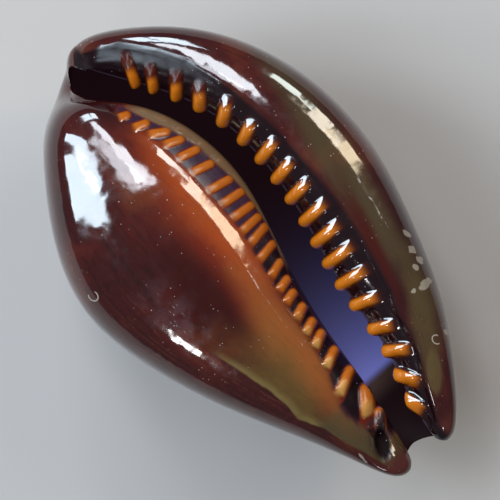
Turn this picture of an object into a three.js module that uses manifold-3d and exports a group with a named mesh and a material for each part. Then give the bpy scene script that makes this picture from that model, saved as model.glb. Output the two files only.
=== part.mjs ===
// Onyx cowrie shell, lying on its back with the toothed base and aperture facing up.
// Millimetres, +Z up, origin under the middle of the shell on the surface it rests on.
// +X points to the front (anterior) end, +Y to the outer lip.
//
// The shell is one rolled sheet: its section is a thick letter C, open upwards at the aperture.
// Twenty-six guide points go round that section, from the outer lip's edge over the outside to
// the inner lip's edge and back along the inside. Each guide point runs the length of the shell
// through eleven stations, and at both ends the inside meets the outside along a U-shaped rim,
// which is the notch of a canal.
import * as THREE from "three";
import { mergeVertices } from "three/addons/utils/BufferGeometryUtils.js";
import Module from "manifold-3d";

// Driving dimensions. Each list gives one dimension at stations 0, 0.1, ... 1 from back to front.
const OUTER_MARGIN_Y = [-1.2, 3.1, 7.25, 10.3, 11.9, 11.85, 10.25, 8.1, 5.4, 3.15, 1.7];
const OUTER_MARGIN_Z = [15.0, 15.4, 15.4, 14.8, 14.3, 14.1, 14.3, 14.8, 15.5, 15.7, 16.0];
const INNER_MARGIN_Y = [-2.3, -5.6, -8.2, -10.9, -12.5, -11.75, -9.7, -7.15, -5.1, -3.85, -2.75];
const INNER_MARGIN_Z = [14.6, 14.4, 14.4, 14.1, 13.8, 13.8, 14.1, 14.6, 15.5, 15.8, 16.0];
const BACK_Z = [12.9, 9.1, 4.85, 1.6, -0.2, -0.76, 0.85, 4.2, 8.5, 11.9, 13.6];
const BACK_Y = [-1.3, -1.2, -0.7, -0.4, -0.2, -0.1, 0.2, 0.3, 0.1, -0.2, -0.3];

// The outer lip: its crest, the drop from there to its edge, and the edge over the aperture.
const OUTER_CREST_Y = [0.3, 2.3, 5.2, 7.6, 8.4, 8.1, 7.2, 5.9, 3.9, 2.2, 1.2];
const OUTER_CREST_Z = [16.6, 17.6, 18.6, 19.2, 19.4, 19.4, 19.2, 18.8, 18.1, 17.3, 16.6];
const OUTER_DROP = [0, 0.9, 1.5, 1.8, 1.9, 1.9, 1.8, 1.7, 1.4, 0.8, 0];
const OUTER_EDGE_Y = [-0.3, 0.35, 2.15, 4.3, 5.05, 4.45, 3.2, 2.6, 1.4, 0.85, 0.75];

// The inner lip: crest, drop, toothed edge, and the smooth ledge below the teeth.
const INNER_CREST_Y = [-1.4, -2.6, -3.4, -3.6, -3.4, -3.6, -3.4, -3.1, -3.7, -3.2, -2.2];
const INNER_CREST_Z = [17.9, 18.9, 19.6, 20.0, 20.0, 19.9, 19.5, 18.9, 18.0, 17.2, 16.6];
const INNER_DROP = [0, 0.6, 1.2, 1.7, 1.9, 1.8, 1.6, 1.4, 1.0, 0.6, 0];
const INNER_EDGE_Y = [-1.4, -0.9, 0.55, 1.9, 2.15, 1.05, -0.1, -0.5, -1.0, -1.45, -1.6];
const LEDGE_REACH = [0, 0.2, 0.8, 0.85, 0.7, 0.35, 0.3, 0.1, 0, 0, 0];

// Wall thickness at the outer lip's side, at the inner lip's side and on the back.
const OUTER_WALL = [0, 1.0, 1.5, 1.6, 1.5, 1.5, 1.5, 1.6, 1.9, 1.5, 0];
const INNER_WALL = [0, 3.4, 3.8, 2.6, 1.8, 1.6, 1.5, 1.6, 1.9, 1.5, 0];
const BACK_WALL = [0, 0.9, 1.2, 1.3, 1.3, 1.3, 1.3, 1.7, 2.6, 1.5, 0];
const LIP_DEPTH = [0, 1.4, 2.6, 3.4, 3.7, 3.7, 3.4, 2.9, 2.2, 1.2, 0];

// The rims of the two canals, where the outside meets the inside, as [x, y, z]: from the outer
// lip's edge over its crest and margin, down round the notch and up to the inner lip's edge.
const REAR_RIM = [
  [-18.3, -0.3, 15.9],
  [-18.6, -0.45, 15.8],
  [-18.95, -0.6, 15.6],
  [-19.35, -0.8, 15.2],
  [-19.6, -1.05, 14.8],
  [-19.5, -1.3, 14.4],
  [-19.15, -1.6, 14.1],
  [-18.7, -1.85, 14.0],
  [-18.3, -2.1, 14.2],
  [-18.0, -2.35, 14.8],
  [-17.65, -2.45, 15.8],
  [-17.15, -2.3, 16.8],
  [-16.7, -1.9, 17.4],
  [-16.2, -1.4, 17.7],
];
const FRONT_RIM = [
  [19.25, 0.75, 16.3],
  [19.7, 0.85, 16.5],
  [20.05, 1.1, 16.5],
  [20.25, 1.4, 16.2],
  [20.15, 1.7, 15.6],
  [19.5, 1.05, 14.6],
  [19.05, 0.35, 13.9],
  [18.75, -0.35, 13.7],
  [18.6, -1.2, 13.9],
  [19.7, -2.75, 15.2],
  [20.05, -2.65, 15.9],
  [20.05, -2.25, 16.3],
  [19.6, -1.8, 16.4],
  [18.9, -1.6, 16.3],
];
// How far the surface bulges back past each point of the rear rim, and where along the shell.
const REAR_ROLL = [0.3, 0.45, 0.7, 1.0, 1.2, 1.2, 1.0, 0.7, 0.35, 0.3, 0.25, 0.1, 0.0, 0.0];
const ROLL_PEAK = 0.06;

// Teeth: where each one's tip stands along the aperture, and how it leans and swells.
const OUTER_TEETH_X = [
  -15.8, -14.4, -12.7, -10.9, -8.8, -6.75, -4.8, -2.9, -1.1, 0.75, 2.55, 4.25, 6.1, 8.0, 10.0,
  12.1, 13.9, 16.0,
];
const INNER_TEETH_X = [
  -13.6, -12.3, -11.0, -9.9, -8.7, -7.1, -5.35, -4.0, -2.8, -1.65, -0.85, 0.45, 1.75, 3.05, 4.05,
  5.4, 6.6, 7.85, 9.45, 11.3, 13.3, 15.2,
];
// The spoon-like hollow at the front end of the inner lip: centre, half sizes, turn and depth.
const HOLLOW = { x: 17.1, y: -2.5, length: 1.1, width: 0.55, turn: -0.55, depth: 0.55 };
const OUTER_TOOTH_HEIGHT = 0.42;
const INNER_TOOTH_HEIGHT = 0.26;

// The band of each row of teeth round the section: where they start, are full, fade and end.
const OUTER_BAND = [0.3, 1.3, 2.7, 3.9];
const INNER_BAND = [13.45, 14.0, 15.0, 15.6];
// How the teeth fan out away from the middle: outer row, inner row and its growth to the ends.
const OUTER_FAN = 0.0875;
const INNER_FAN = 0.03;
const INNER_FAN_GROWTH = 0.004;
// The teeth fade in and out between these places along the shell.
const TEETH_ALONG = [0.06, 0.15, 0.86, 0.94];
const RIDGE_POWER = 1.25;

// The section's quarter ellipses: where their guide points stand, as angles from the side.
const OUTER_LIP_ANGLE = 1.0;
const INNER_LIP_ANGLE = 1.15;
const SHOULDER_ANGLE = 0.85;
const FLANK_ANGLE = 0.7;
const KEEL_ANGLE = 1.22;
// Below 1, the lips and the shoulders beside the crests are fuller than an ellipse.
const SHOULDER_POWER = 0.6;
const LIP_POWER = 0.7;
// The lips below their edges, as shares of the lip's depth: across and down from the edge.
const OUTER_UNDERSIDE = [0.08, 0.32];
const OUTER_ROOT = [0.45, 0.62];
const INNER_ROOT = [-0.35, 1.05];
const LEDGE_DROP = 0.42;
// The inside's corners, as shares of the way from the lip's root to the side wall.
const OUTER_CORNER = [0.7, 0.3];
const INNER_CORNER = [0.62, 0.1];

// Guide points round the section. The outer lip's edge is point 2 and the inner lip's is 15.
const GUIDES = 26;
const OUTER_EDGE = 2;
const INNER_EDGE = 15;
// The facets: stations along the shell, and steps round each lip's span and the wall between.
const STATIONS = 104;
const LIP_SPAN = 2.6;
const LIP_STEPS = 7;
const WALL_STEPS = 16;
const TOOTH_REACH = 1.7;
// Side of the block below the shell that cuts the flat.
const FLAT_CUT = 60;

const mix = (a, b, share) => a + (b - a) * share;
const clamp = (value, low, high) => Math.min(Math.max(value, low), high);

// A smooth step from 0 at low to 1 at high.
function ease(value, low, high) {
  const t = clamp((value - low) / (high - low), 0, 1);
  return t * t * (3 - 2 * t);
}

// The guide points of one station, each as [y, z]. Quarter ellipses join crest, edge and margin.
function sectionAt(k) {
  const outer = [OUTER_MARGIN_Y[k], OUTER_MARGIN_Z[k]];
  const inner = [INNER_MARGIN_Y[k], INNER_MARGIN_Z[k]];
  const outerCrest = [OUTER_CREST_Y[k], OUTER_CREST_Z[k]];
  const innerCrest = [INNER_CREST_Y[k], INNER_CREST_Z[k]];
  const outerEdge = [OUTER_EDGE_Y[k], OUTER_CREST_Z[k] - OUTER_DROP[k]];
  const innerEdge = [INNER_EDGE_Y[k], INNER_CREST_Z[k] - INNER_DROP[k]];
  const back = [BACK_Y[k], BACK_Z[k]];
  const depth = LIP_DEPTH[k];
  // A point of the quarter ellipse from a vertical start to a level end, fuller by the power.
  const quarter = (start, end, angle, power = 1) => [
    mix(end[0], start[0], Math.cos(angle) ** power),
    mix(start[1], end[1], Math.sin(angle) ** power),
  ];
  // A point below a lip's edge, and one between its root and the side wall.
  const below = (edge, shares) => [edge[0] + shares[0] * depth, edge[1] - shares[1] * depth];
  const corner = (root, wall, shares) => [
    mix(root[0], wall[0], shares[0]),
    mix(root[1], wall[1], shares[1]),
  ];
  const insideOuter = [outer[0] - OUTER_WALL[k], outer[1]];
  const insideInner = [inner[0] + INNER_WALL[k], inner[1]];
  const insideBack = [back[0], back[1] + BACK_WALL[k]];
  const outerRoot = below(outerEdge, OUTER_ROOT);
  const innerRoot = below(innerEdge, INNER_ROOT);
  return [
    outerRoot,
    below(outerEdge, OUTER_UNDERSIDE),
    outerEdge,
    quarter(outerEdge, outerCrest, OUTER_LIP_ANGLE, LIP_POWER),
    outerCrest,
    quarter(outer, outerCrest, SHOULDER_ANGLE, SHOULDER_POWER),
    outer,
    quarter(outer, back, FLANK_ANGLE),
    quarter(outer, back, KEEL_ANGLE),
    quarter(inner, back, KEEL_ANGLE),
    quarter(inner, back, FLANK_ANGLE),
    inner,
    quarter(inner, innerCrest, SHOULDER_ANGLE, SHOULDER_POWER),
    innerCrest,
    quarter(innerEdge, innerCrest, INNER_LIP_ANGLE, LIP_POWER),
    innerEdge,
    [innerEdge[0] + LEDGE_REACH[k], innerEdge[1] - LEDGE_DROP * depth],
    innerRoot,
    corner(innerRoot, insideInner, INNER_CORNER),
    insideInner,
    quarter(insideInner, insideBack, FLANK_ANGLE),
    quarter(insideInner, insideBack, KEEL_ANGLE),
    quarter(insideOuter, insideBack, KEEL_ANGLE),
    quarter(insideOuter, insideBack, FLANK_ANGLE),
    insideOuter,
    corner(outerRoot, insideOuter, OUTER_CORNER),
  ];
}

// The point of a canal's rim that a guide point ends on, the same for both faces of the sheet.
function rimPoint(rim, guide) {
  const outside = guide >= OUTER_EDGE && guide <= INNER_EDGE;
  const place = outside ? guide : (2 * INNER_EDGE - guide) % GUIDES;
  return rim[place - OUTER_EDGE];
}

// All guide points as rows of [y, z] by station, with the two ends taken from the rims.
function guideNet() {
  const net = [];
  for (let k = 0; k <= 10; k += 1) {
    const section = sectionAt(k);
    const rim = k === 0 ? REAR_RIM : FRONT_RIM;
    const isEnd = k === 0 || k === 10;
    net.push(section.map((p, i) => (isEnd ? rimPoint(rim, i).slice(1) : p)));
  }
  return net;
}

// Moves each guide point out by what the smoothing round the section takes in.
function sharpened(net) {
  return net.map((row) =>
    row.map((p, i) => {
      const a = row[(i + GUIDES - 1) % GUIDES];
      const b = row[(i + 1) % GUIDES];
      return p.map((value, axis) => value + (2 * value - a[axis] - b[axis]) / 6);
    }),
  );
}

// Weights of the natural cubic spline through n equally spaced values, at place s from 0 to 1.
function splineWeights(n) {
  const bend = [];
  for (let k = 0; k < n; k += 1) {
    const value = new Array(n).fill(0);
    value[k] = 1;
    const slope = new Array(n).fill(0);
    const rise = new Array(n).fill(0);
    for (let i = 1; i < n - 1; i += 1) {
      const divisor = 4 - slope[i - 1];
      slope[i] = 1 / divisor;
      rise[i] = (6 * (value[i - 1] - 2 * value[i] + value[i + 1]) - rise[i - 1]) / divisor;
    }
    const second = new Array(n).fill(0);
    for (let i = n - 2; i > 0; i -= 1) second[i] = rise[i] - slope[i] * second[i + 1];
    bend.push(second);
  }
  return (s) => {
    const i = clamp(Math.floor(s * (n - 1)), 0, n - 2);
    const b = s * (n - 1) - i;
    const a = 1 - b;
    return bend.map((second, k) => {
      const straight = (k === i ? a : 0) + (k === i + 1 ? b : 0);
      return straight + ((a ** 3 - a) * second[i] + (b ** 3 - b) * second[i + 1]) / 6;
    });
  };
}

// The four guide points that shape the section at place t, with their cubic B-spline weights.
function aroundWeights(t) {
  const i = Math.floor(t);
  const b = t - i;
  return [
    [(i + GUIDES - 1) % GUIDES, (1 - b) ** 3 / 6],
    [(i + GUIDES) % GUIDES, (3 * b ** 3 - 6 * b ** 2 + 4) / 6],
    [(i + 1) % GUIDES, (-3 * b ** 3 + 3 * b ** 2 + 3 * b + 1) / 6],
    [(i + 2) % GUIDES, b ** 3 / 6],
  ];
}

const net = sharpened(guideNet());
const alongWeights = splineWeights(net.length);

// The smooth shell's surface at place s along its length and t round its section.
function surface(s, t) {
  const along = alongWeights(s);
  const point = new THREE.Vector3();
  for (const [guide, weight] of aroundWeights(t)) {
    const rear = rimPoint(REAR_RIM, guide)[0];
    const front = rimPoint(FRONT_RIM, guide)[0];
    const roll = rimPoint(REAR_ROLL, guide) * (s / ROLL_PEAK) * Math.exp(1 - s / ROLL_PEAK);
    point.x += weight * (mix(rear, front, (1 - Math.cos(Math.PI * s)) / 2) - roll);
    along.forEach((share, k) => {
      point.y += weight * share * net[k][guide][0];
      point.z += weight * share * net[k][guide][1];
    });
  }
  return point;
}

// A row of rounded ridges: 1 on each tooth's crest and 0 midway between two.
function ridge(x, teeth) {
  const last = teeth.length - 1;
  if (x <= teeth[0] - 1 || x >= teeth[last] + 1) return 0;
  let k = 0;
  while (k < last && x > teeth[k + 1]) k += 1;
  const gap = k < last && x >= teeth[0] ? teeth[k + 1] - teeth[k] : 2;
  const off = Math.abs(x - teeth[k]);
  const phase = Math.min(off, Math.abs(gap - off)) / gap;
  return Math.cos(Math.PI * clamp(phase, 0, 0.5)) ** RIDGE_POWER;
}

// The depth of the hollow under a point of the inner lip, falling to 0 at twice its half sizes.
function hollowDepth(x, y, t) {
  const [dx, dy] = [x - HOLLOW.x, y - HOLLOW.y];
  const along = (dx * Math.cos(HOLLOW.turn) + dy * Math.sin(HOLLOW.turn)) / HOLLOW.length;
  const across = (dy * Math.cos(HOLLOW.turn) - dx * Math.sin(HOLLOW.turn)) / HOLLOW.width;
  const onInnerLip = t > 12 && t < 15 ? 1 : 0;
  return onInnerLip * HOLLOW.depth * (1 - ease(Math.hypot(along, across), 0, 2));
}

// 1 between the two middle values of a band, falling to 0 at its first and last.
const within = (value, [start, full, fade, end]) =>
  ease(value, start, full) * (1 - ease(value, fade, end));

// How far the teeth stand out of the smooth surface. The front teeth of the inner row are taller.
function toothRelief(x, s, t) {
  const place = t > GUIDES - 3 ? t - GUIDES : t;
  const outerLean = OUTER_FAN * x * clamp(place - OUTER_EDGE, 0, 2);
  const outer = (ridge(x - outerLean, OUTER_TEETH_X) - 0.35) * OUTER_TOOTH_HEIGHT;
  const innerFan = INNER_FAN * x + INNER_FAN_GROWTH * x * Math.abs(x);
  const innerLean = -innerFan * clamp(place - INNER_EDGE, -1.5, 0);
  const swell = mix(0.6, 1.9, ease(x, -6, 12));
  const inner = (ridge(x - innerLean, INNER_TEETH_X) - 0.5) * INNER_TOOTH_HEIGHT * swell;
  const relief = outer * within(place, OUTER_BAND) + inner * within(place, INNER_BAND);
  return relief * within(s, TEETH_ALONG);
}

// Places round the section, the same on both faces of the sheet, and close together on the lips.
// Places near the teeth are fine: they have a point at every station, and others at every second.
function placesRound() {
  const half = [];
  const addRun = (from, to, steps) => {
    for (let i = 0; i < steps; i += 1) half.push(mix(from, to, i / steps));
  };
  addRun(OUTER_EDGE, OUTER_EDGE + LIP_SPAN, LIP_STEPS);
  addRun(OUTER_EDGE + LIP_SPAN, INNER_EDGE - LIP_SPAN, WALL_STEPS);
  addRun(INNER_EDGE - LIP_SPAN, INNER_EDGE, LIP_STEPS);
  const outside = [...half, INNER_EDGE];
  const inside = half.slice(1).reverse().map((t) => 2 * OUTER_EDGE + GUIDES - t);
  return [...outside, ...inside].map((t) => {
    const onOuterLip = t <= OUTER_EDGE + LIP_SPAN || t >= OUTER_EDGE + GUIDES - TOOTH_REACH;
    const onInnerLip = t >= INNER_EDGE - LIP_SPAN && t <= INNER_EDGE + TOOTH_REACH;
    return { t, fine: onOuterLip || onInnerLip };
  });
}

// The point of the toothed surface at place s along the shell and t round its section.
function toothedPoint(s, t) {
  const step = 1e-3;
  const point = surface(s, t);
  if (s < step || s > 1 - step) return point;
  const along = surface(s + step, t).sub(surface(s - step, t));
  const across = surface(s, t + step).sub(surface(s, t - step));
  const normal = along.cross(across).normalize();
  const relief = toothRelief(point.x, s, t) - hollowDepth(point.x, point.y, t);
  return point.addScaledVector(normal, relief);
}

// The closed shell. Each ring of places is joined to the next, and at both ends the two faces of
// the sheet share their points.
function shellGeometry() {
  const places = placesRound();
  const count = places.length;
  const positions = [];
  const indices = [];
  const index = (i, j) => {
    const k = (j + count) % count;
    const isEnd = i === 0 || i === STATIONS;
    return i * count + (isEnd ? Math.min(k, (count - k) % count) : k);
  };
  for (let i = 0; i <= STATIONS; i += 1) {
    for (const place of places) {
      const point = toothedPoint(i / STATIONS, place.t);
      positions.push(point.x, point.y, point.z);
    }
  }
  // The strip between places j and j + 1, from station i to station i + 2.
  for (let i = 0; i < STATIONS; i += 2) {
    for (let j = 0; j < count; j += 1) {
      const [a, b] = [index(i, j), index(i, j + 1)];
      const [c, d] = [index(i + 2, j + 1), index(i + 2, j)];
      const [left, right] = [index(i + 1, j), index(i + 1, j + 1)];
      const fineLeft = places[j].fine;
      const fineRight = places[(j + 1) % count].fine;
      if (fineLeft && fineRight) {
        indices.push(a, right, b, a, left, right, left, c, right, left, d, c);
      } else if (fineLeft) {
        indices.push(a, left, b, left, c, b, left, d, c);
      } else if (fineRight) {
        indices.push(a, right, b, a, d, right, d, c, right);
      } else {
        indices.push(a, c, b, a, d, c);
      }
    }
  }
  const geometry = new THREE.BufferGeometry();
  geometry.setAttribute("position", new THREE.Float32BufferAttribute(positions, 3));
  geometry.setIndex(indices);
  return geometry;
}

const wasm = await Module();
wasm.setup();

// A closed mesh as a solid, with its shared points merged and points on no face dropped.
function solidOf(geometry) {
  const bare = geometry.toNonIndexed();
  bare.deleteAttribute("normal");
  bare.deleteAttribute("uv");
  const merged = mergeVertices(bare, 1e-4);
  const index = merged.index.array;
  const kept = [];
  for (let i = 0; i < index.length; i += 3) {
    const [a, b, c] = [index[i], index[i + 1], index[i + 2]];
    if (a !== b && b !== c && c !== a) kept.push(a, b, c);
  }
  const vertProperties = new Float32Array(merged.attributes.position.array);
  const triVerts = new Uint32Array(kept);
  return new wasm.Manifold(new wasm.Mesh({ numProp: 3, vertProperties, triVerts }));
}

// A solid's surface as a mesh geometry.
function geometryOf(solid) {
  const mesh = solid.getMesh();
  const geometry = new THREE.BufferGeometry();
  geometry.setAttribute("position", new THREE.BufferAttribute(mesh.vertProperties, 3));
  geometry.setIndex(new THREE.BufferAttribute(mesh.triVerts, 1));
  geometry.computeVertexNormals();
  return geometry;
}

// The shell is worn to a small flat where its back touches the surface it lies on, and its
// outline is centred on the origin.
function shell() {
  const below = new THREE.BoxGeometry(FLAT_CUT, FLAT_CUT, FLAT_CUT);
  below.translate(0, 0, -FLAT_CUT / 2);
  const worn = geometryOf(solidOf(shellGeometry()).subtract(solidOf(below)));
  worn.computeBoundingBox();
  const middle = worn.boundingBox.getCenter(new THREE.Vector3());
  worn.translate(-middle.x, -middle.y, 0);
  const material = new THREE.MeshStandardMaterial({
    color: "#4a2417",
    roughness: 0.15,
    metalness: 0,
  });
  const mesh = new THREE.Mesh(worn, material);
  mesh.name = "shell";
  return mesh;
}

const cowrie = new THREE.Group();
cowrie.add(shell());

export default cowrie;
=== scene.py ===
# Onyx cowrie shell, lying on its back with its toothed base and aperture facing up.
# Lengths in the tables are millimetres in the shell's own frame: +X to the front end, +Y to the
# outer lip, +Z up. They become metres once, where the mesh is made.
from functools import reduce
import bmesh
import bpy
import numpy as np
from mathutils import Matrix, Vector


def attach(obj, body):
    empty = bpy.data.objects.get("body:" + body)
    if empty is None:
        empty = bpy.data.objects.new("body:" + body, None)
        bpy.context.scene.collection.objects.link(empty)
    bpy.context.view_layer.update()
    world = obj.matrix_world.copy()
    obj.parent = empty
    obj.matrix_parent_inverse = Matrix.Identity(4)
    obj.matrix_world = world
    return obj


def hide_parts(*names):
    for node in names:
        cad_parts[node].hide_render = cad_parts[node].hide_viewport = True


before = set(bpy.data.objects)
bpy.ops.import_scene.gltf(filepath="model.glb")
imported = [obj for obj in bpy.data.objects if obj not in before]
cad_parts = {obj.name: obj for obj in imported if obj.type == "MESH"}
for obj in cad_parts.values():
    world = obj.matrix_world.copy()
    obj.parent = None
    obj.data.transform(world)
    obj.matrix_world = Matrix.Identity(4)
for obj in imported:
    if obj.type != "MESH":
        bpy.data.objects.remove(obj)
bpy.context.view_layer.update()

MM = 0.001

# The rolled sheet: each list gives one dimension at stations 0, 0.1, ... 1 from back to front.
OUTER_MARGIN_Y = [-1.2, 3.1, 7.25, 10.3, 11.9, 11.85, 10.25, 8.1, 5.4, 3.15, 1.7]
OUTER_MARGIN_Z = [15.0, 15.4, 15.4, 14.8, 14.3, 14.1, 14.3, 14.8, 15.5, 15.7, 16.0]
INNER_MARGIN_Y = [-2.3, -5.6, -8.2, -10.9, -12.5, -11.75, -9.7, -7.15, -5.1, -3.85, -2.75]
INNER_MARGIN_Z = [14.6, 14.4, 14.4, 14.1, 13.8, 13.8, 14.1, 14.6, 15.5, 15.8, 16.0]
BACK_Z = [12.9, 9.1, 4.85, 1.6, -0.2, -0.76, 0.85, 4.2, 8.5, 11.9, 13.6]
BACK_Y = [-1.3, -1.2, -0.7, -0.4, -0.2, -0.1, 0.2, 0.3, 0.1, -0.2, -0.3]

# The outer lip: its crest, the drop from there to its edge, and the edge over the aperture.
OUTER_CREST_Y = [0.3, 2.3, 5.2, 7.6, 8.4, 8.1, 7.2, 5.9, 3.9, 2.2, 1.2]
OUTER_CREST_Z = [16.6, 17.6, 18.6, 19.2, 19.4, 19.4, 19.2, 18.8, 18.1, 17.3, 16.6]
OUTER_DROP = [0, 0.9, 1.5, 1.8, 1.9, 1.9, 1.8, 1.7, 1.4, 0.8, 0]
OUTER_EDGE_Y = [-0.3, 0.35, 2.15, 4.3, 5.05, 4.45, 3.2, 2.6, 1.4, 0.85, 0.75]

# The inner lip: crest, drop, toothed edge, and the smooth ledge below the teeth.
INNER_CREST_Y = [-1.4, -2.6, -3.4, -3.6, -3.4, -3.6, -3.4, -3.1, -3.7, -3.2, -2.2]
INNER_CREST_Z = [17.9, 18.9, 19.6, 20.0, 20.0, 19.9, 19.5, 18.9, 18.0, 17.2, 16.6]
INNER_DROP = [0, 0.6, 1.2, 1.7, 1.9, 1.8, 1.6, 1.4, 1.0, 0.6, 0]
INNER_EDGE_Y = [-1.4, -0.9, 0.55, 1.9, 2.15, 1.05, -0.1, -0.5, -1.0, -1.45, -1.6]
LEDGE_REACH = [0, 0.2, 0.8, 0.85, 0.7, 0.35, 0.3, 0.1, 0, 0, 0]

# Wall thickness at the outer lip's side, at the inner lip's side and on the back.
OUTER_WALL = [0, 1.0, 1.5, 1.6, 1.5, 1.5, 1.5, 1.6, 1.9, 1.5, 0]
INNER_WALL = [0, 3.4, 3.8, 2.6, 1.8, 1.6, 1.5, 1.6, 1.9, 1.5, 0]
BACK_WALL = [0, 0.9, 1.2, 1.3, 1.3, 1.3, 1.3, 1.7, 2.6, 1.5, 0]
LIP_DEPTH = [0, 1.4, 2.6, 3.4, 3.7, 3.7, 3.4, 2.9, 2.2, 1.2, 0]

# The rims of the two canals, from the outer lip's end down round the notch to the inner lip's.
REAR_RIM = [
    (-18.3, -0.3, 15.9), (-18.6, -0.45, 15.8), (-18.95, -0.6, 15.6), (-19.35, -0.8, 15.2),
    (-19.6, -1.05, 14.8), (-19.5, -1.3, 14.4), (-19.15, -1.6, 14.1), (-18.7, -1.85, 14.0),
    (-18.3, -2.1, 14.2), (-18.0, -2.35, 14.8), (-17.65, -2.45, 15.8), (-17.15, -2.3, 16.8),
    (-16.7, -1.9, 17.4), (-16.2, -1.4, 17.7),
]
REAR_ROLL = [0.3, 0.45, 0.7, 1.0, 1.2, 1.2, 1.0, 0.7, 0.35, 0.3, 0.25, 0.1, 0.0, 0.0]
ROLL_PEAK = 0.06
FRONT_RIM = [
    (19.25, 0.75, 16.3), (19.7, 0.85, 16.5), (20.05, 1.1, 16.5), (20.25, 1.4, 16.2),
    (20.15, 1.7, 15.6), (19.5, 1.05, 14.6), (19.05, 0.35, 13.9), (18.75, -0.35, 13.7),
    (18.6, -1.2, 13.9), (19.7, -2.75, 15.2), (20.05, -2.65, 15.9), (20.05, -2.25, 16.3),
    (19.6, -1.8, 16.4), (18.9, -1.6, 16.3),
]

# The spoon-like hollow at the front end of the inner lip.
HOLLOW_CENTRE, HOLLOW_RADII, HOLLOW_TURN, HOLLOW_DEPTH = (17.1, -2.5), (1.1, 0.55), -31.5, 0.55

# A place t round the section counts its guide points: from the outer lip's root over its edge and
# crest, the side, the back, the whorl and the inner lip's crest to its edge, then back inside.
GUIDES = 26
# The quarter ellipses' guide points, as angles from their vertical start, and how full they are.
OUTER_LIP_ANGLE, INNER_LIP_ANGLE, SHOULDER_ANGLE = 1.0, 1.15, 0.85
FLANK_ANGLE, KEEL_ANGLE = 0.7, 1.22
LIP_POWER = 0.7
SHOULDER_POWER = 0.6
OUTER_EDGE, INNER_EDGE = 2, 15
# The outer lip's colours run from LIP_START on its inside to LIP_END, its teeth to LIP_CREST_END.
# The whorl's colours run from WHORL_START to INSIDE_START.
LIP_START, LIP_CREST_END, LIP_END = 26.6, 6, 8
WHORL_START, INSIDE_START = 10, 16.5
# The rim point that each guide point ends on, the same for both faces of the sheet.
RIM_OF_GUIDE = [(i if OUTER_EDGE <= i <= INNER_EDGE else (2 * INNER_EDGE - i) % GUIDES) - OUTER_EDGE
                for i in range(GUIDES)]
# How finely the surface is drawn: steps along it, and how much closer they are in the middle.
STATIONS = 490
CLOSER = 0.3
# Runs of places round the section: from, to and how many.
PLACES_ROUND = [(2, 3.9, 32), (3.9, 6.6, 18), (6.6, 10.6, 12), (10.6, 13.6, 16), (13.6, 15, 22)]


def ease(value, low, high):
    """A smooth step from 0 at low to 1 at high: 3t^2 - 2t^3 of the share t between them."""
    t = np.clip((value - low) / (high - low), 0, 1)
    return t * t * (3 - 2 * t)


def mix(a, b, share):
    """The point that lies the given share of the way from a to b."""
    return a + (b - a) * share


def guide_net():
    """The guide points round the section at each station, as (stations, guides, [y, z]).

    Quarter ellipses join the crests, edges, margins and back: a point at angle a runs from the
    vertical start (a = 0) to the level end (a = 90 degrees). The end stations lie on the rims.
    """
    column = np.array
    outer = np.stack([column(OUTER_MARGIN_Y), column(OUTER_MARGIN_Z)], 1)
    inner = np.stack([column(INNER_MARGIN_Y), column(INNER_MARGIN_Z)], 1)
    back = np.stack([column(BACK_Y), column(BACK_Z)], 1)
    outer_crest = np.stack([column(OUTER_CREST_Y), column(OUTER_CREST_Z)], 1)
    inner_crest = np.stack([column(INNER_CREST_Y), column(INNER_CREST_Z)], 1)
    outer_edge = np.stack([OUTER_EDGE_Y, column(OUTER_CREST_Z) - column(OUTER_DROP)], 1)
    inner_edge = np.stack([INNER_EDGE_Y, column(INNER_CREST_Z) - column(INNER_DROP)], 1)
    depth = column(LIP_DEPTH)[:, None]

    def quarter(start, end, angle, power=1.0):
        """The point at an angle on a quarter ellipse, which is fuller where the power is below 1."""
        return np.stack([mix(end[:, 0], start[:, 0], np.cos(angle)**power),
                         mix(start[:, 1], end[:, 1], np.sin(angle)**power)], 1)

    inside_outer = outer - np.stack([OUTER_WALL, np.zeros(11)], 1)
    inside_inner = inner + np.stack([INNER_WALL, np.zeros(11)], 1)
    inside_back = back + np.stack([np.zeros(11), BACK_WALL], 1)
    outer_root = outer_edge + depth * [0.45, -0.62]
    inner_root = inner_edge + depth * [-0.35, -1.05]
    ledge = inner_edge + np.stack([LEDGE_REACH, -0.42 * depth[:, 0]], 1)
    net = np.stack([
        outer_root, outer_edge + depth * [0.08, -0.32], outer_edge,
        quarter(outer_edge, outer_crest, OUTER_LIP_ANGLE, LIP_POWER), outer_crest,
        quarter(outer, outer_crest, SHOULDER_ANGLE, SHOULDER_POWER),
        outer, quarter(outer, back, FLANK_ANGLE), quarter(outer, back, KEEL_ANGLE),
        quarter(inner, back, KEEL_ANGLE), quarter(inner, back, FLANK_ANGLE), inner,
        quarter(inner, inner_crest, SHOULDER_ANGLE, SHOULDER_POWER), inner_crest,
        quarter(inner_edge, inner_crest, INNER_LIP_ANGLE, LIP_POWER), inner_edge, ledge,
        inner_root, mix(inner_root, inside_inner, column([0.62, 0.1])),
        inside_inner, quarter(inside_inner, inside_back, FLANK_ANGLE),
        quarter(inside_inner, inside_back, KEEL_ANGLE), quarter(inside_outer, inside_back, KEEL_ANGLE),
        quarter(inside_outer, inside_back, FLANK_ANGLE), inside_outer,
        mix(outer_root, inside_outer, column([0.7, 0.3])),
    ], 1)
    net[0] = np.array(REAR_RIM)[RIM_OF_GUIDE, 1:]
    net[-1] = np.array(FRONT_RIM)[RIM_OF_GUIDE, 1:]
    return net + (2 * net - np.roll(net, 1, 1) - np.roll(net, -1, 1)) / 6


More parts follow.
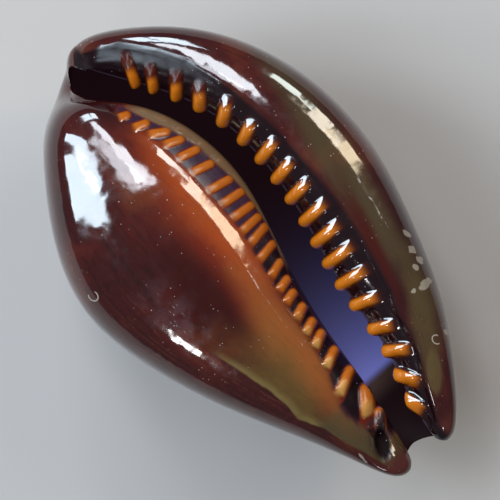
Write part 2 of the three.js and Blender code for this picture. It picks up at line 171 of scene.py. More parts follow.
def along_weights(s, count):
    """Weights of the natural cubic spline through count equally spaced values, at each s.

    The second derivatives M solve M[i-1] + 4 M[i] + M[i+1] = 6 (v[i-1] - 2 v[i] + v[i+1]), and
    with a = 1 - b the value is a v0 + b v1 + ((a^3 - a) M0 + (b^3 - b) M1) / 6.
    """
    eye = np.eye(count)
    bend = np.zeros((count, count))
    system = 4 * np.eye(count - 2) + np.eye(count - 2, k=1) + np.eye(count - 2, k=-1)
    bend[1:-1] = np.linalg.solve(system, 6 * (eye[:-2] - 2 * eye[1:-1] + eye[2:]))
    i = np.clip((s * (count - 1)).astype(int), 0, count - 2)
    b = (s * (count - 1) - i)[:, None]
    a = 1 - b
    return a * eye[i] + b * eye[i + 1] + ((a**3 - a) * bend[i] + (b**3 - b) * bend[i + 1]) / 6


def round_weights(t):
    """Weights of the closed uniform cubic B-spline over the guide points, at each place t."""
    i = np.floor(t).astype(int)
    b = t - i
    weights = np.zeros((len(t), GUIDES))
    rows = np.arange(len(t))
    weights[rows, (i - 1) % GUIDES] += (1 - b)**3 / 6
    weights[rows, i % GUIDES] += (3 * b**3 - 6 * b**2 + 4) / 6
    weights[rows, (i + 1) % GUIDES] += (-3 * b**3 + 3 * b**2 + 3 * b + 1) / 6
    weights[rows, (i + 2) % GUIDES] += b**3 / 6
    return weights


NET = guide_net()
REAR_X = np.array(REAR_RIM)[RIM_OF_GUIDE, 0]
FRONT_X = np.array(FRONT_RIM)[RIM_OF_GUIDE, 0]
ROLL = np.array(REAR_ROLL)[RIM_OF_GUIDE]


def smooth_surface(s, t):
    """The toothless surface: cubic splines along s, a closed B-spline round t.

    The share of the way from the rear rim to the front rim is (1 - cos(pi s)) / 2, and near the
    rear the surface bulges back by its roll times (s / p) exp(1 - s / p), with p its peak.
    """
    around = round_weights(t)
    yz = np.einsum("sk,kgc,tg->stc", along_weights(s, len(NET)), NET, around)
    share = (1 - np.cos(np.pi * s))[:, None] / 2
    hump = (s / ROLL_PEAK * np.exp(1 - s / ROLL_PEAK))[:, None]
    x = mix((around @ REAR_X)[None], (around @ FRONT_X)[None], share) - (around @ ROLL)[None] * hump
    return np.concatenate([x[..., None], yz], 2)


# The outer lip's teeth and the inner lip's, each as tip x, y and root x, y in millimetres.
OUTER_TEETH = np.array([
    (-15.7, 1.9, -18.0, 2.8), (-14.3, 2.6, -16.0, 3.7), (-12.7, 3.5, -14.3, 4.9),
    (-10.9, 4.2, -12.5, 5.6), (-8.8, 4.6, -10.2, 6.6), (-6.7, 4.7, -7.6, 6.8),
    (-4.8, 4.65, -5.3, 7.2), (-2.9, 4.5, -3.3, 7.1), (-1.1, 4.25, -1.3, 7.0),
    (0.8, 3.9, 0.8, 7.0), (2.55, 3.5, 2.7, 6.7), (4.3, 3.1, 4.6, 6.4), (6.1, 2.8, 6.7, 6.0),
    (7.9, 2.55, 8.9, 5.2), (10.1, 2.4, 11.3, 4.5), (12.1, 2.25, 13.5, 4.2),
    (14.0, 1.75, 16.0, 2.9), (15.9, 1.05, 17.8, 1.5),
])
INNER_TEETH = np.array([
    (-14.0, -0.3, -14.3, -1.0), (-12.6, 0.35, -13.0, -0.75), (-11.1, 1.1, -12.0, -0.3),
    (-9.95, 1.5, -10.6, 0.0), (-8.6, 1.87, -9.1, 0.1), (-7.1, 1.95, -7.6, 0.2),
    (-5.3, 2.2, -5.75, 0.2), (-4.0, 2.25, -4.3, 0.2), (-2.75, 2.1, -3.0, 0.1),
    (-1.75, 1.9, -1.75, -0.1), (-0.85, 1.85, -0.6, -0.2), (0.5, 1.4, 0.75, -0.5),
    (1.9, 0.9, 2.3, -0.6), (3.2, 0.45, 3.45, -0.8), (4.25, 0.1, 4.5, -1.0), (5.5, -0.05, 5.9, -1.15),
    (6.8, -0.25, 7.2, -1.35), (7.9, -0.35, 8.4, -1.5), (9.5, -0.45, 10.1, -1.9),
    (11.4, -0.6, 12.3, -2.6), (13.3, -0.6, 15.1, -2.1), (15.2, -1.0, 16.7, -2.2),
])
# How high a tooth stands, its half width at the tip, and the width at its root over that.
OUTER_TOOTH_HEIGHT, OUTER_TOOTH_RADIUS, OUTER_ROOT_WIDTH = 0.5, 0.56, 0.84
INNER_TOOTH_HEIGHT, INNER_TOOTH_RADIUS, INNER_ROOT_WIDTH = 0.26, 0.33, 1.1
# How far a tooth runs on past its listed tip.
OUTER_TIP_REACH, INNER_TIP_REACH = 1.0, 0.0
# The width of the first outer teeth and of the front inner ones, over that of the others. The last
# three inner ones have half widths of their own.
REAR_TOOTH_WIDTH, FRONT_TOOTH_WIDTH = 0.75, 1.2
FRONT_TOOTH_RADII = (0.42, 0.55, 0.4)
# The inner teeth's height at the rear and at the front, over INNER_TOOTH_HEIGHT.
INNER_HEIGHT_SHARES = (0.4, 1.7)
# A tooth's cross-section is (1 - d^2) to this power.
DOME_POWER = 0.75
# The step down to the dark band at its rear and its front, and the dip between the inner teeth,
# which grows this many times towards the front.
BAND_STEP = (0.08, 0.3)
VALLEY_DEPTH, VALLEY_GROWTH = 0.07, 2.2
# Both rows fade in and out over these shares of the way along the shell.
TEETH_IN, TEETH_OUT = (0.06, 0.15), (0.86, 0.94)


# More radii than any tooth reaches.
FAR = 9.0


def tooth_field(x, y, teeth, radii, beyond, root_width):
    """Distance to the nearest tooth's axis over its radius, and the share of the way to its root.

    A tooth's axis is a straight line from a little beyond its tip to its root, so its end is round.
    Its radius shrinks evenly to the share root_width at the root.
    """
    nearest = np.full(x.shape, FAR)
    share = np.zeros(x.shape)
    for (tip_x, tip_y, root_x, root_y), radius in zip(teeth, radii):
        length = np.hypot(root_x - tip_x, root_y - tip_y)
        along_x, along_y = (root_x - tip_x) / length, (root_y - tip_y) / length
        along = (x - tip_x) * along_x + (y - tip_y) * along_y
        aside = (x - tip_x) * along_y - (y - tip_y) * along_x
        past = np.maximum(0, np.maximum(-beyond - along, along - length))
        slim = mix(1.0, root_width, np.clip(along / length, 0, 1))
        distance = np.hypot(aside, past) / (radius * slim)
        closer = distance < nearest
        nearest = np.where(closer, distance, nearest)
        share = np.where(closer, np.clip(along / length, 0, 1), share)
    return nearest, share


def outer_field(x, y):
    """The tooth field of the outer lip."""
    radii = OUTER_TOOTH_RADIUS * mix(REAR_TOOTH_WIDTH, 1.0, ease(OUTER_TEETH[:, 0], -16, -10))
    return tooth_field(x, y, OUTER_TEETH, radii, OUTER_TIP_REACH, OUTER_ROOT_WIDTH)


def inner_field(x, y):
    """The tooth field of the inner lip."""
    radii = INNER_TOOTH_RADIUS * mix(1.0, FRONT_TOOTH_WIDTH, ease(INNER_TEETH[:, 0], 0, 6))
    radii[-3:] = FRONT_TOOTH_RADII
    return tooth_field(x, y, INNER_TEETH, radii, INNER_TIP_REACH, INNER_ROOT_WIDTH)


def dome(distance):
    """A round ridge over distance in radii: (1 - d^2) to DOME_POWER, 0 past the radius."""
    return np.clip(1 - distance**2, 0, 1)**DOME_POWER


# Lines over the base as (x, y) points: the outer edge of the dark band, the inner teeth's ends and
# roots, and the lower border of the olive area.
OUTER_DARK = [(-19.7, 0.3), (-18.5, 3.0), (-16, 4.8), (-14, 5.9), (-10, 6.9), (-5.5, 7.4), (1, 7.2),
              (4, 6.8), (7, 6.2), (9, 5.7), (10, 5.1), (12.5, 4.6), (14, 4.1), (16, 3.0), (19, 1.6)]
TOOTH_ENDS = [(-14.4, -0.1), (-12.6, 0.6), (-11.1, 1.3), (-9.9, 1.7), (-8.6, 2.05), (-7.1, 2.15),
              (-5, 2.4), (-4, 2.4), (-2.7, 2.25), (-0.9, 1.95), (0.5, 1.55), (1.9, 1.05), (3.2, 0.6),
              (4.3, 0.3), (6.8, -0.05), (9.5, -0.25), (11.5, -0.4), (17, -1.0)]
TOOTH_ROOTS = [(-14.3, -0.9), (-12.5, -0.5), (-11, 0), (-8, 0.2), (-2, 0.2), (-0.8, 0), (2, -0.5),
               (4.7, -1.0), (7.2, -1.3), (10.4, -1.9), (12.6, -2.9), (13.7, -3.1), (15.3, -2.8), (17, -2.3)]
OLIVE_BORDER = [(-2, -8.4), (3, -7.3), (5, -6.9), (8, -6.3), (10, -6.0), (11.5, -6.0), (12.5, -5.6),
                (13.3, -5.1), (16, -4.2), (19, -3.2)]
# Pale worn patches: centre x, y and half lengths.
PALE_PATCHES = [(6.6, 9.4, 0.42, 0.16), (7.8, 8.85, 0.33, 0.24), (8.75, 8.8, 0.34, 0.22),
                (8.95, 8.2, 0.27, 0.2), (10.35, 7.85, 0.3, 0.62), (10.15, 6.9, 0.16, 0.22),
                (14.1, 6.65, 0.28, 0.13), (16.9, -4.3, 0.5, 0.09)]
# Curled hairs stuck to the enamel: centre x, y, half lengths and a direction left open.
HAIRS = [(14.0, 5.75, 0.36, 0.3, (0.6, 0.8)), (-5.6, -11.2, 0.42, 0.32, (-0.9, 0.2))]


def curve(x, points):
    """The height of the line through the points at each x."""
    xs, ys = np.array(points).T
    return np.interp(x, xs, ys)


def blob(x, y, centre, radii, turn=0.0):
    """1 at the centre of a turned ellipse, with a smooth step down to 0 at twice its radii."""
    c, s = np.cos(np.radians(turn)), np.sin(np.radians(turn))
    u = ((x - centre[0]) * c + (y - centre[1]) * s) / radii[0]
    v = (-(x - centre[0]) * s + (y - centre[1]) * c) / radii[1]
    return 1 - ease(np.hypot(u, v), 0, 2)


def lip_place(t):
    """Places round the section, with those on the outer lip's inside counted below 0."""
    return np.where(t > GUIDES - 3, t - GUIDES, t)


def relief(x, y, s, t):
    """Height over the smooth surface: both rows of teeth, less the hollows between and in front.

    A tooth is a round ridge that sinks towards its root. Between the outer teeth the dark band
    lies a step lower than the lip, more so at the front.
    """
    place = lip_place(t)
    distance, share = outer_field(x, y)
    depth = curve(x, OUTER_DARK) - y
    height = OUTER_TOOTH_HEIGHT * (1 - ease(share, 0.15, 0.95))
    outer = dome(distance) * height * ease(place, 0.4, 1.4) * (place < LIP_CREST_END)
    step = mix(*BAND_STEP, ease(x, 4, 9)) * ease(depth, -0.1, 0.5)
    step = step * ease(place, 1.9, 2.5) * (place < LIP_CREST_END)
    distance, share = inner_field(x, y)
    height = INNER_TOOTH_HEIGHT * mix(*INNER_HEIGHT_SHARES, ease(x, -2, 11))
    height = height * (1 - ease(share, 0.4, 1.0))
    on_inner = (1 - ease(t, 15.0, 15.7)) * (t > 12.5)
    band = ease(y - curve(x, TOOTH_ROOTS), -0.2, 0.3)
    valley = VALLEY_DEPTH * band * mix(1, VALLEY_GROWTH, ease(x, 2, 10))
    inner = (dome(distance) * height - valley) * on_inner
    ends = ease(s, *TEETH_IN) * (1 - ease(s, *TEETH_OUT))
    hollow = HOLLOW_DEPTH * blob(x, y, HOLLOW_CENTRE, HOLLOW_RADII, HOLLOW_TURN)
    return ends * (outer - step + inner) - hollow * ((t > 12) & (t < 15))


# The normal is the cross product of the surface's changes over a step along and two round.
NORMAL_STEP = 1e-3


def shell_points(s, t):
    """The toothed surface: the smooth one moved along its normal by the relief."""
    points = smooth_surface(s, t)
    rows, half = s[1:-1], NORMAL_STEP / 2
    along = smooth_surface(rows + half, t) - smooth_surface(rows - half, t)
    across = smooth_surface(rows, t + 2 * half) - smooth_surface(rows, t - 2 * half)
    normal = np.cross(along, across)
    normal /= np.linalg.norm(normal, axis=2, keepdims=True)
    x, y = points[1:-1, :, 0], points[1:-1, :, 1]
    points[1:-1] += normal * relief(x, y, rows[:, None], t[None])[..., None]
    return points


def places_along():
    """Places along the shell, closer in the middle: u + CLOSER sin(2 pi u) / (2 pi)."""
    u = np.linspace(0, 1, STATIONS + 1)
    return u + CLOSER * np.sin(2 * np.pi * u) / (2 * np.pi)


def places_round():
    """Places round the section: close on the lips, and the same on both faces of the sheet."""
    half = np.concatenate([np.linspace(a, b, n, endpoint=False) for a, b, n in PLACES_ROUND])
    return np.concatenate([half, [INNER_EDGE], 2 * OUTER_EDGE + GUIDES - half[:0:-1]])


# Soft washes of colour over the chocolate ground, each an ellipse on the base: name, face, centre,
# radii, turn in degrees, screen colour and strength.
WASHES = [
    ("lip_olive", "lip", (0.5, 9.0), (11, 1.15), -9, (82, 70, 48), 0.9),
    ("lip_olive_front", "lip", (11.5, 6.4), (4.5, 0.9), -32, (88, 74, 46), 0.85),
    ("lip_red", "lip", (5.5, 6.9), (4.5, 0.55), -17, (72, 18, 12), 0.9),
    ("russet_wash", "whorl", (-2, -1.9), (9, 1.7), -6, (122, 40, 20), 0.95),
    ("orange_wash", "whorl", (-4.5, -0.3), (8.0, 1.35), -4, (172, 76, 30), 1.0),
    ("tan_wash", "whorl", (8, -2.7), (6.0, 1.5), -6, (160, 92, 42), 0.95),
    ("red_wash", "whorl", (0.3, -5.0), (4.4, 1.6), -6, (58, 12, 9), 0.95),
]
# The wash over the front tip: mask, colour and strength.
TIP_WASH = ("tips", (104, 52, 46), 0.7)
# Centre, radii and turn of the scuffed area, the lip's olive patch and the painted shade on the spoon's
# floor.
SCUFF = (0.8, -7.4), (3.0, 1.0), 4
LIP_PATCH = (15.7, 4.0), (1.3, 0.42), -36
SPOON_SHADE = (17.1, -2.5), (1.05, 0.5), -31


def painted_masks(points, s, t):
    """Where each colour of the shell lies, 0 to 1, from the place on the base and round it."""
    x, y, z = points[..., 0], points[..., 1], points[..., 2]
    t = np.broadcast_to(t[None], x.shape)
    s = np.broadcast_to(s[:, None], x.shape)
    whorl = (t > WHORL_START) & (t < INSIDE_START)
    lip = (t < LIP_END) | (t > LIP_START)
    place = lip_place(t)
    distance, share = outer_field(x, y)
    depth = curve(x, OUTER_DARK) - y
    band = ease(depth, -0.3, 0.25) * lip * (place < LIP_CREST_END)
    reach = mix(0.42, 0.85, ease(x, -16, -5))
    rooted = (1 - ease(share, 0.6, 1.0)) * lip * (place < LIP_CREST_END)
    grown = (1 - ease(share, reach - 0.35, reach)) * ease(place, 0.5, 1.2) * lip
    roots, ends = curve(x, TOOTH_ROOTS), curve(x, TOOTH_ENDS)
    inner, up = inner_field(x, y)
    row = ease(y - roots, -0.15, 0.4) * (1 - ease(y - ends, 0.0, 0.15)) * whorl
    row = row * ease(x, -15.2, -14.4) * (1 - ease(x, 16.6, 17.4))
    border = y - curve(x, OLIVE_BORDER)
    pale = ease(up, 0.2, 0.6) * (1 - ease(up, 0.8, 1.0))
    under = (y < 0.5) & (z > 9) & (t < INSIDE_START)
    hollow = ease(t, 16.4, 17.0) * (1 - ease(t, 27.2, 27.9)) * ease(s, 0.03, 0.09)
    faces = {"whorl": whorl, "lip": lip}
    washes = {name: faces[face] * blob(x, y, centre, radii, turn)
              for name, face, centre, radii, turn, _, _ in WASHES}
    return washes | {
        "outer_core": (1 - ease(distance, 0.6, 0.98)) * grown,
        "outer_halo": (1 - ease(distance, 0.7, 1.35)) * rooted,
        "outer_dark": band,
        "outer_dark_rear": band * (1 - ease(x, -13, -9)),
        "flank": (1 - ease(z, 10, 13.5)) * (1 - hollow),
        "outer_gap_rim": band * ease(distance, 1.0, 1.3) * np.exp(-((place - 1.95) / 0.12)**2),
        "inner_core": (1 - ease(inner, 0.7, 1.05)) * whorl * (1 - ease(up, 0.6, 0.95)),
        "inner_pale_and_highlight": pale * (1 - ease(inner, 0.4, 1.0)) * ease(x, 4, 9) * (1 - ease(x, 14.7, 15)),
        "fold_sheen": (1 - ease(inner, 0.7, 1.0)) * whorl * ease(x, 14.9, 15.5),
        "inner_gap": ease(inner, 1.0, 1.3) * row,
        "inner_gap_front": ease(inner, 0.95, 1.25) * row * ease(x, -3, 2),
        "inner_row": row,
        "ledge": ease(y - ends, 0.0, 0.2) * ((t > 14.2) & (t < 17)) * ease(x, -15, -13.5),
        "ledge_turn_shade": ease(t, 15.4, 16.3),
        "ledge_front": ease(x, 1.0, 3.0) * whorl,
        "inside": hollow * (t > INNER_EDGE),
        "border": np.clip(border, -4, 4),
        "front_margin": (y < 0.5) * (t < INSIDE_START) * ease(z, 3, 8) * ease(x, -9, 1),
        "olive": under * ease(x, 2.0, 9.0) * (1 - ease(y - roots, -2.8, -0.5)),
        "olive_line": under * ease(x, 3, 5) * (1 - ease(x, 12.5, 13.3)),
        "lip_patch": lip * ease(blob(x, y, *LIP_PATCH), 0.1, 0.5),
        "front_olive": under * ease(x, 12.2, 13.6) * (1 - ease(x, 17.8, 19.2)),
        # Painted shade on the floor of the spoon hollow.
        "spoon_shade": whorl * ease(blob(x, y, *SPOON_SHADE), 0, 0.6),
        "tips": ease(x, 18.0, 19.8),
        "back": 1 - ease(z + 0.01 * x * x, 5.5, 12.3),
        "scuff": whorl * blob(x, y, *SCUFF),
        "lip_face": ease(z, 12, 13) * (1 - ease(t, 14, 15)),
        "upper_face": (1 - ease(t, 12.5, 13.5)) * ease(z, 8, 9),
        "round": np.where(t > INNER_EDGE, 2 * INNER_EDGE - t, t),
    }


def grid_faces(rows, columns):
    """Quads of a grid whose last column joins its first."""
    i, j = np.meshgrid(np.arange(rows - 1), np.arange(columns), indexing="ij")
    k = (j + 1) % columns
    quads = np.stack([i * columns + j, (i + 1) * columns + j, (i + 1) * columns + k,
                      i * columns + k], -1)
    return quads.reshape(-1, 4)


# Both faces of the sheet meet on the rims, where points closer than this are one, in metres.
MERGE_DISTANCE = 1e-7


def make_shell():
    """The shell as one closed mesh, and the middle of its outline in the tables' own frame.

    It is a grid of s along and t round, cut flat on z = 0 and merged along both rims.
    """
    s = places_along()
    t = places_round()
    points = shell_points(s, t)
    points[..., 2] = np.maximum(points[..., 2], 0)
    masks = painted_masks(points, s, t)
    low, high = points.reshape(-1, 3).min(0), points.reshape(-1, 3).max(0)
    middle = (low + high)[:2] / 2
    points[..., :2] -= middle
    mesh = bpy.data.meshes.new("cowrie_shell")
    mesh.from_pydata((points.reshape(-1, 3) * MM).tolist(), [], grid_faces(len(s), len(t)).tolist())
    for name, mask in masks.items():
        layer = mesh.attributes.new(name, "FLOAT", "POINT")
        layer.data.foreach_set("value", mask.astype(np.float32).ravel())
    work = bmesh.new()
    work.from_mesh(mesh)
    bmesh.ops.remove_doubles(work, verts=work.verts, dist=MERGE_DISTANCE)
    bmesh.ops.recalc_face_normals(work, faces=work.faces)
    work.to_mesh(mesh)
    work.free()
    mesh.polygons.foreach_set("use_smooth", np.ones(len(mesh.polygons), dtype=bool))
    shell = bpy.data.objects.new("cowrie_shell", mesh)
    bpy.context.scene.collection.objects.link(shell)
    return shell, middle


# Colours are given as they show, 0 to 255. Under these lights a surface shows this much more red,
# green and blue light than its own share, so its albedo is that much less.
LIGHT_GAIN = np.array([2.6, 2.95, 3.25])


def shown(red, green, blue):
    """The linear colour of a screen colour."""
    c = np.array([red, green, blue]) / 255
    return np.where(c <= 0.04045, c / 12.92, ((c + 0.055) / 1.055)**2.4)


def paint(red, green, blue):
    """The albedo that shows as a screen colour under these lights."""
    return (*(shown(red, green, blue) / LIGHT_GAIN).tolist(), 1.0)


class Finish:
    """A material's nodes, with one short method for each kind of node."""

    def __init__(self, name):
        self.material = bpy.data.materials.new(name)
        self.material.use_nodes = True
        self.nodes = self.material.node_tree.nodes
        self.links = self.material.node_tree.links
        self.shader = self.nodes["Principled BSDF"]

    def give(self, socket, value):
        """Link a socket, or set its value."""
        if isinstance(value, bpy.types.NodeSocket):
            self.links.new(value, socket)
        else:
            socket.default_value = value

    def node(self, kind, inputs=None, **settings):
        """A new node with its settings and its inputs."""
        made = self.nodes.new(kind)
        for key, value in settings.items():
            setattr(made, key, value)
        for key, value in (inputs or {}).items():
            self.give(made.inputs[key], value)
        return made

    def place(self):
        """The place on the piece in metres, in its own frame."""
        return self.node("ShaderNodeTexCoord").outputs["Object"]

    def stretched(self, scale, turn=(0, 0, 0)):
        """The place, turned and scaled along each axis."""
        inputs = {"Vector": self.place(), "Scale": scale, "Rotation": turn}
        return self.node("ShaderNodeMapping", inputs).outputs["Vector"]

    def mask(self, name):
        """One of the shell's own painted masks."""
        return self.node("ShaderNodeAttribute", attribute_name=name).outputs["Fac"]

    def noise(self, where, scale, detail=3.0, roughness=0.5):
        """Cloudy noise, about 0.5 on average, with its scale to the metre."""
        inputs = {"Vector": where, "Scale": scale, "Detail": detail, "Roughness": roughness}
        return self.node("ShaderNodeTexNoise", inputs).outputs["Fac"]

    def math(self, kind, a, b):
        """One step of arithmetic."""
        return self.node("ShaderNodeMath", {0: a, 1: b}, operation=kind).outputs[0]

    def product(self, *values):
        """The values multiplied together."""
        return reduce(lambda a, b: self.math("MULTIPLY", a, b), values)

    def most(self, *values):
        """The largest of the values."""
        return reduce(lambda a, b: self.math("MAXIMUM", a, b), values)

    def span(self, value, low, high, to_low=0.0, to_high=1.0):
        """A smooth step from to_low where the value is low to to_high where it is high."""
        inputs = {"Value": value, "From Min": low, "From Max": high,
                  "To Min": to_low, "To Max": to_high}
        made = self.node("ShaderNodeMapRange", inputs, interpolation_type="SMOOTHSTEP")
        return made.outputs["Result"]

    def blend(self, under, over, share):
        """The colour that lies the given share of the way from under to over."""
        made = self.node("ShaderNodeMix", data_type="RGBA")
        self.give(made.inputs[6], under)
        self.give(made.inputs[7], over)
        self.give(made.inputs[0], share)
        return made.outputs[2]

    def spots(self, scale, share, size):
        """Round specks: the middles of a share of the cells of a Voronoi pattern."""
        cells = self.node("ShaderNodeTexVoronoi", {"Vector": self.place(), "Scale": scale})
        chance = self.node("ShaderNodeSeparateColor", {"Color": cells.outputs["Color"]}).outputs[0]
        dot = self.span(cells.outputs["Distance"], size, size * 0.6)
        return self.product(dot, self.span(chance, 1 - share, 1 - share + 0.01))


# Colours of the enamel as they show. Some of them are painted light, shade and sheen, where noted.
COLOURS = {
    "chocolate": (60, 20, 22), "light_chocolate": (86, 30, 26), "streak": (40, 15, 16),
    "fine_streak": (38, 16, 14), "milk_cool": (150, 152, 160), "milk_warm": (172, 152, 130),
    "amber": (128, 72, 40), "cream": (236, 190, 112), "ledge": (134, 108, 82),
    "ledge_turn_shade": (62, 34, 30), "ledge_front": (42, 24, 24), "growth_line": (122, 62, 46),
    # The hollow's colours on this line and the next are painted shade at the rear and painted light in
    # front; the canal's darker colour is painted shade.
    "border_line": (146, 134, 84), "lip_patch": (112, 100, 62), "hollow_shade": (26, 15, 18),
    "hollow_lit_blue": (110, 108, 160), "canal_floor": (112, 94, 80), "canal_shade": (20, 13, 13),
    "worn_patch": (196, 190, 178), "hair": (214, 210, 200), "dusty_sheen": (168, 160, 176),
    "dust": (205, 200, 196),
}
# Painted light in the hollow, an emission glow as it shows: dim everywhere, and blue-violet where light
# comes through the thin wall.
GLOW_DIM, GLOW_BLUE = (24, 11, 15), (96, 102, 172)
# The olive area of the whorl, which ends crisply at its border: mask, colour, strength.
OLIVE_AREA = [("olive", (112, 88, 44), 0.8), ("front_olive", (84, 76, 50), 0.8)]
# Sharper details over the washes: mask, colour.
DETAILS = [
    ("outer_dark", (28, 10, 17)), ("outer_halo", (84, 28, 12)), ("outer_core", (226, 130, 26)),
    ("inner_row", (112, 34, 20)), ("inner_gap", (62, 38, 64)),
    # Painted sheen: the front fold is painted grey-purple.
    ("inner_gap_front", (30, 16, 22)), ("inner_core", (204, 112, 30)), ("fold_sheen", (70, 50, 54)),
    # Painted shade: the spoon hollow's floor is painted near-black.
    ("spoon_shade", (20, 5, 10)), ("outer_gap_rim", (88, 76, 92)),
]


def enamel(name):
    """The albedo of one of the enamel's named colours."""
    return paint(*COLOURS[name])


def olive_colour(m, colour, cloud, fine):
    """The whorl's olive area with its paler border line and the growth lines outside it.

    A patch of a like colour lies on the outer lip.
    """
    border = m.math("ADD", m.mask("border"), m.span(cloud, 0.2, 0.8, -0.3, 0.3))
    edge = m.product(m.span(border, -0.1, 0.1), m.span(fine, 0.2, 0.6, 0.75, 1.0))
    outside = m.product(m.span(border, 0.0, -0.3), m.mask("front_margin"))
    across = {"X": m.mask("round"), "Y": m.math("ADD", cloud, 3.0)}
    lines = m.node("ShaderNodeCombineXYZ", across).outputs[0]
    lines = m.span(m.noise(lines, 16, 3, 0.6), 0.5, 0.68)
    colour = m.blend(colour, enamel("growth_line"), m.product(lines, outside, 0.45))
    for name, tint, strength in OLIVE_AREA:
        colour = m.blend(colour, paint(*tint), m.product(m.mask(name), edge, strength))
    line = m.product(edge, m.span(border, 0.7, 0.0), m.mask("olive_line"), 0.5)
    colour = m.blend(colour, enamel("border_line"), line)
    return m.blend(colour, enamel("lip_patch"), m.product(m.mask("lip_patch"), 0.5))


def ellipse_place(m, middle, x, y, half_x, half_y):
    """The place seen from an ellipse's centre, in its half lengths, and its distance."""
    centre = ((x - middle[0]) * MM, (y - middle[1]) * MM, 0)
    moved = m.node("ShaderNodeVectorMath", {0: m.place(), 1: centre}, operation="SUBTRACT")
    scale = (1 / (half_x * MM), 1 / (half_y * MM), 0)
    sized = m.node("ShaderNodeVectorMath", {0: moved.outputs[0], 1: scale}, operation="MULTIPLY")
    length = m.node("ShaderNodeVectorMath", {0: sized.outputs[0]}, operation="LENGTH")
    return sized.outputs[0], length.outputs["Value"]


# The noise to the metre that makes the worn patches' edges ragged.
RAGGED_SCALE = 2500


def patch_mask(m, middle):
    """The pale worn patches beside the aperture: an ellipse each, with ragged edges."""
    ragged = m.span(m.noise(m.place(), RAGGED_SCALE, 2), 0.3, 0.7, -0.25, 0.25)
    patches = 0.0
    for patch in PALE_PATCHES:
        _, length = ellipse_place(m, middle, *patch)
        patches = m.most(m.span(m.math("ADD", length, ragged), 1.1, 0.85), patches)
    return m.product(patches, m.mask("lip_face"), 0.6)


def hair_mask(m, middle):
    """The curled hairs: a thin ellipse outline each, open towards one side."""
    hairs = 0.0
    for *ellipse, opening in HAIRS:
        place, length = ellipse_place(m, middle, *ellipse)
        off = m.math("ABSOLUTE", m.math("SUBTRACT", length, 1.0), 0.0)
        inputs = {0: place, 1: (*opening, 0)}
        side = m.node("ShaderNodeVectorMath", inputs, operation="DOT_PRODUCT").outputs["Value"]
        hairs = m.most(m.product(m.span(off, 0.16, 0.08), m.span(side, 0.6, 0.4)), hairs)
    return m.product(hairs, m.mask("upper_face"), 0.7)


# The hollow along the shell in metres: where its painted blue-violet light starts and is full,
# with the power by which it grows, where the canal starts, and where its taupe floor turns to
# painted shade. Last, how strongly the hollow's painted glow shines.
BLUE_FROM, BLUE_TO, BLUE_POWER = -0.008, 0.013, 4.5
CANAL_START = (0.0128, 0.0136)
CANAL_SHADE = (0.0134, 0.0152)
GLOW = 0.8


def inside_colour(m, colour):
    """The hollow: black-brown painted shade at the rear, painted blue-violet light through the wall and a
    painted glow, a taupe canal that darkens to painted shade.
    """
    along = m.node("ShaderNodeSeparateXYZ", {"Vector": m.place()}).outputs["X"]
    canal = m.span(along, *CANAL_START)
    inside = m.mask("inside")
    reach = {"Value": along, "From Min": BLUE_FROM, "From Max": BLUE_TO}
    bright = m.node("ShaderNodeMapRange", reach).outputs[0]
    bright = m.product(m.math("POWER", bright, BLUE_POWER), m.math("SUBTRACT", 1.0, canal))
    # Painted shade and light: black-brown at the rear of the hollow, turning blue-violet towards the front
    # where light comes through the wall.
    hollow = m.blend(enamel("hollow_shade"), enamel("hollow_lit_blue"), bright)
    # Painted shade: the canal's taupe floor darkens further into the canal.
    deep = m.blend(enamel("canal_floor"), enamel("canal_shade"), m.span(along, *CANAL_SHADE))
    hollow = m.blend(hollow, deep, canal)
    # Painted light: the hollow glows, dim everywhere and blue-violet towards the front.
    dim = m.blend((0, 0, 0, 1), (*shown(*GLOW_DIM).tolist(), 1), inside)
    glow = m.blend(dim, (*shown(*GLOW_BLUE).tolist(), 1), m.product(inside, bright))
    m.links.new(glow, m.shader.inputs["Emission Color"])
    m.shader.inputs["Emission Strength"].default_value = GLOW
    return m.blend(colour, hollow, inside)


def ground_colour(m, cloud, fine):
    """Chocolate with growth streaks, the soft washes, the olive area and the milky back."""
    colour = m.blend(enamel("chocolate"), enamel("light_chocolate"), m.span(cloud, 0.35, 0.65))
    across = m.node("ShaderNodeCombineXYZ", {"X": m.mask("round"), "Y": cloud}).outputs[0]
    streaks = m.span(m.noise(across, 11, 6, 0.75), 0.45, 0.7)
    colour = m.blend(colour, enamel("streak"), m.product(streaks, 0.7))
    stray = m.span(cloud, 0.2, 0.8, -0.25, 0.25)
    washes = [(name, tint, strength) for name, *_, tint, strength in WASHES]
    for name, tint, strength in washes + [TIP_WASH]:
        mask = m.mask(name)
        share = m.span(m.math("ADD", mask, stray), 0.0, 0.9)
        colour = m.blend(colour, paint(*tint), m.product(share, m.span(mask, 0.0, 0.15), strength))
    colour = olive_colour(m, colour, cloud, fine)
    colour = m.blend(colour, enamel("fine_streak"), m.product(streaks, m.span(fine, 0.4, 0.6), 0.25))
    back = m.math("ADD", m.mask("back"), stray)
    veil = m.blend(enamel("milk_cool"), enamel("milk_warm"), m.span(cloud, 0.3, 0.7))
    colour = m.blend(colour, enamel("amber"), m.span(back, 0.05, 0.45))
    return m.blend(colour, veil, m.span(back, 0.35, 0.95))


def teeth_colour(m, colour):
    """Orange teeth with cream bases, partly a painted highlight, the dark gaps between them and the taupe
    ledge below.
    """
    for name, tint in DETAILS:
        colour = m.blend(colour, paint(*tint), m.mask(name))
    # The cream on the front inner teeth is partly their own pale colour and partly a painted highlight.
    colour = m.blend(colour, enamel("cream"), m.product(m.mask("inner_pale_and_highlight"), 0.65))
    # Painted shade: the ledge darkens where it turns down into the aperture.
    ledge = m.blend(enamel("ledge"), enamel("ledge_turn_shade"), m.mask("ledge_turn_shade"))
    ledge = m.blend(ledge, enamel("ledge_front"), m.mask("ledge_front"))
    return m.blend(colour, ledge, m.mask("ledge"))


